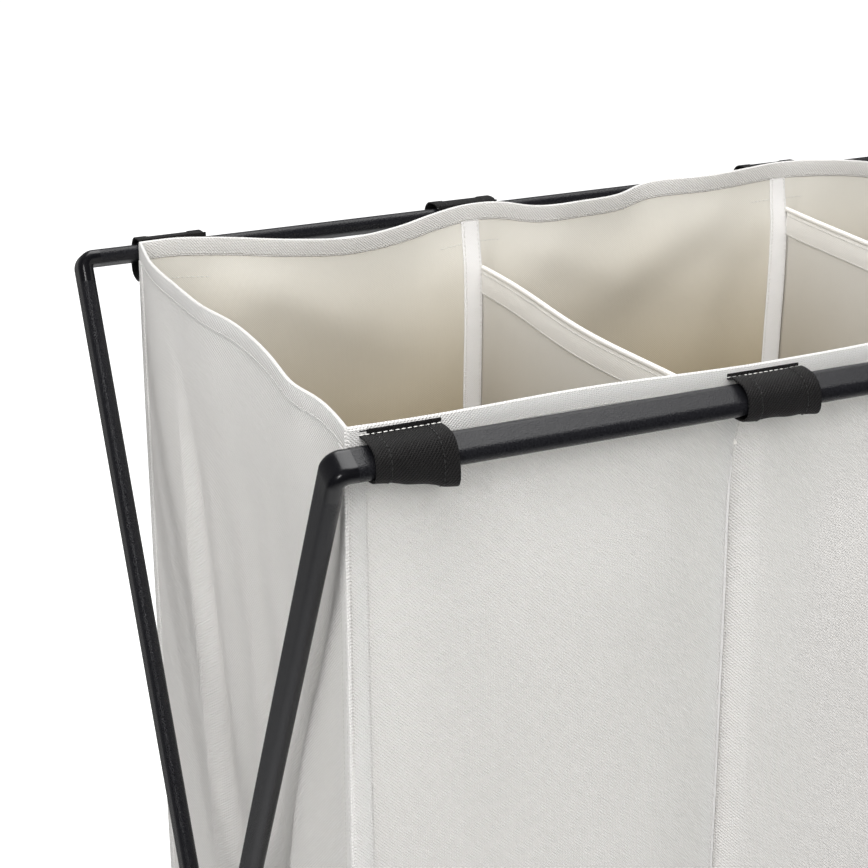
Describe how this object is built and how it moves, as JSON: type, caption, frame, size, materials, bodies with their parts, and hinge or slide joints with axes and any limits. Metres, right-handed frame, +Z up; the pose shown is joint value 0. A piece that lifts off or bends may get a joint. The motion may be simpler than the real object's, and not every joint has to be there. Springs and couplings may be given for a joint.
{
  "type": "laundry sorter on casters",
  "caption": "Folding X-frame laundry sorter: black flat-oval tube frames on swivel casters carry an off-white fabric bag with sewn dividers.",
  "frame": {"origin": "on the floor, under the middle of the open frames", "axes": "+X along the rails to the right, +Y from front to rear, +Z up"},
  "size_m": [0.8036, 0.4166, 0.85],
  "materials": {
    "painted_tube": "satin, finely textured black powder coat on steel tube",
    "black_plastic": "moulded black plastic, smooth and glossy",
    "canvas": "off-white twill canvas with a folded and stitched hem",
    "lining": "light grey-beige lining cloth of the dividers and the floor",
    "white_tape": "white woven binding tape over the seams",
    "black_webbing": "black woven loops, stitched to the hem",
    "thread": "off-white sewing thread",
    "zinc_steel": "zinc-plated steel",
    "wheel_plastic": "black moulded wheel, matte tread"
  },
  "bodies": {
    "front_frame": {"front_top_rail": "painted_tube", "front_frame_left_leg": "painted_tube", "front_frame_right_leg": "painted_tube", "rear_foot_rail": "painted_tube", "front_left_elbow": "black_plastic", "front_right_elbow": "black_plastic", "rear_left_foot": "black_plastic", "rear_right_foot": "black_plastic", "left_pivot_bolt": "zinc_steel", "right_pivot_bolt": "zinc_steel", "left_pivot_spacer": "black_plastic", "right_pivot_spacer": "black_plastic", "left_pivot_nut": "zinc_steel", "right_pivot_nut": "zinc_steel", "rear_left_caster_stem": "zinc_steel", "rear_right_caster_stem": "zinc_steel"},
    "rear_frame": {"rear_top_rail": "painted_tube", "rear_frame_left_leg": "painted_tube", "rear_frame_right_leg": "painted_tube", "front_foot_rail": "painted_tube", "rear_left_elbow": "black_plastic", "rear_right_elbow": "black_plastic", "front_left_foot": "black_plastic", "front_right_foot": "black_plastic", "front_left_caster_stem": "zinc_steel", "front_right_caster_stem": "zinc_steel"},
    "bag_front": {"bag_front_panel": "canvas", "bag_left_end": "canvas", "bag_right_end": "canvas", "left_divider": "lining", "right_divider": "lining", "left_floor": "lining", "middle_floor": "lining", "right_floor": "lining", "front_loop_far_left": "black_webbing", "front_loop_left": "black_webbing", "front_loop_right": "black_webbing", "front_loop_far_right": "black_webbing"},
    "bag_rear": {"bag_rear_panel": "canvas", "rear_loop_far_left": "black_webbing", "rear_loop_left": "black_webbing", "rear_loop_right": "black_webbing", "rear_loop_far_right": "black_webbing"},
    "front_left_caster": {"front_left_caster_fork": "black_plastic", "front_left_caster_axle": "zinc_steel"},
    "front_left_wheel": {"front_left_caster_wheel": "wheel_plastic"},
    "front_right_caster": {"front_right_caster_fork": "black_plastic", "front_right_caster_axle": "zinc_steel"},
    "front_right_wheel": {"front_right_caster_wheel": "wheel_plastic"},
    "rear_left_caster": {"rear_left_caster_fork": "black_plastic", "rear_left_caster_axle": "zinc_steel"},
    "rear_left_wheel": {"rear_left_caster_wheel": "wheel_plastic"},
    "rear_right_caster": {"rear_right_caster_fork": "black_plastic", "rear_right_caster_axle": "zinc_steel"},
    "rear_right_wheel": {"rear_right_caster_wheel": "wheel_plastic"}
  },
  "joints": [
    {"name": "frame_fold", "type": "hinge", "parent": "front_frame", "child": "rear_frame", "pos_m": [0, 0, 0.429], "axis": [1, 0, 0], "range_deg": [0, 46], "deforming": ["bag_left_end", "bag_right_end", "left_divider", "right_divider", "left_floor", "middle_floor", "right_floor"]},
    {"name": "bag_front_swing", "type": "hinge", "parent": "front_frame", "child": "bag_front", "pos_m": [0, -0.1965, 0.835], "axis": [1, 0, 0], "range_deg": [0, 23]},
    {"name": "bag_rear_swing", "type": "hinge", "parent": "rear_frame", "child": "bag_rear", "pos_m": [0, 0.1965, 0.835], "axis": [1, 0, 0], "range_deg": [-23, 0]},
    {"name": "front_left_swivel", "type": "hinge", "parent": "rear_frame", "child": "front_left_caster", "pos_m": [-0.392, -0.17182, 0.05], "axis": [0, 0, 1], "continuous": true},
    {"name": "front_left_roll", "type": "hinge", "parent": "front_left_caster", "child": "front_left_wheel", "pos_m": [-0.392, -0.15882, 0.02], "axis": [1, 0, 0], "continuous": true},
    {"name": "front_right_swivel", "type": "hinge", "parent": "rear_frame", "child": "front_right_caster", "pos_m": [0.392, -0.17182, 0.05], "axis": [0, 0, 1], "continuous": true},
    {"name": "front_right_roll", "type": "hinge", "parent": "front_right_caster", "child": "front_right_wheel", "pos_m": [0.392, -0.15882, 0.02], "axis": [1, 0, 0], "continuous": true},
    {"name": "rear_left_swivel", "type": "hinge", "parent": "front_frame", "child": "rear_left_caster", "pos_m": [-0.372, 0.17182, 0.05], "axis": [0, 0, 1], "continuous": true},
    {"name": "rear_left_roll", "type": "hinge", "parent": "rear_left_caster", "child": "rear_left_wheel", "pos_m": [-0.372, 0.18482, 0.02], "axis": [1, 0, 0], "continuous": true},
    {"name": "rear_right_swivel", "type": "hinge", "parent": "front_frame", "child": "rear_right_caster", "pos_m": [0.372, 0.17182, 0.05], "axis": [0, 0, 1], "continuous": true},
    {"name": "rear_right_roll", "type": "hinge", "parent": "rear_right_caster", "child": "rear_right_wheel", "pos_m": [0.372, 0.18482, 0.02], "axis": [1, 0, 0], "continuous": true}
  ],
  "couplings": [
    {"joint": "bag_front_swing", "follows": "frame_fold", "ratio": 0.5},
    {"joint": "bag_rear_swing", "follows": "frame_fold", "ratio": -0.5}
  ]
}
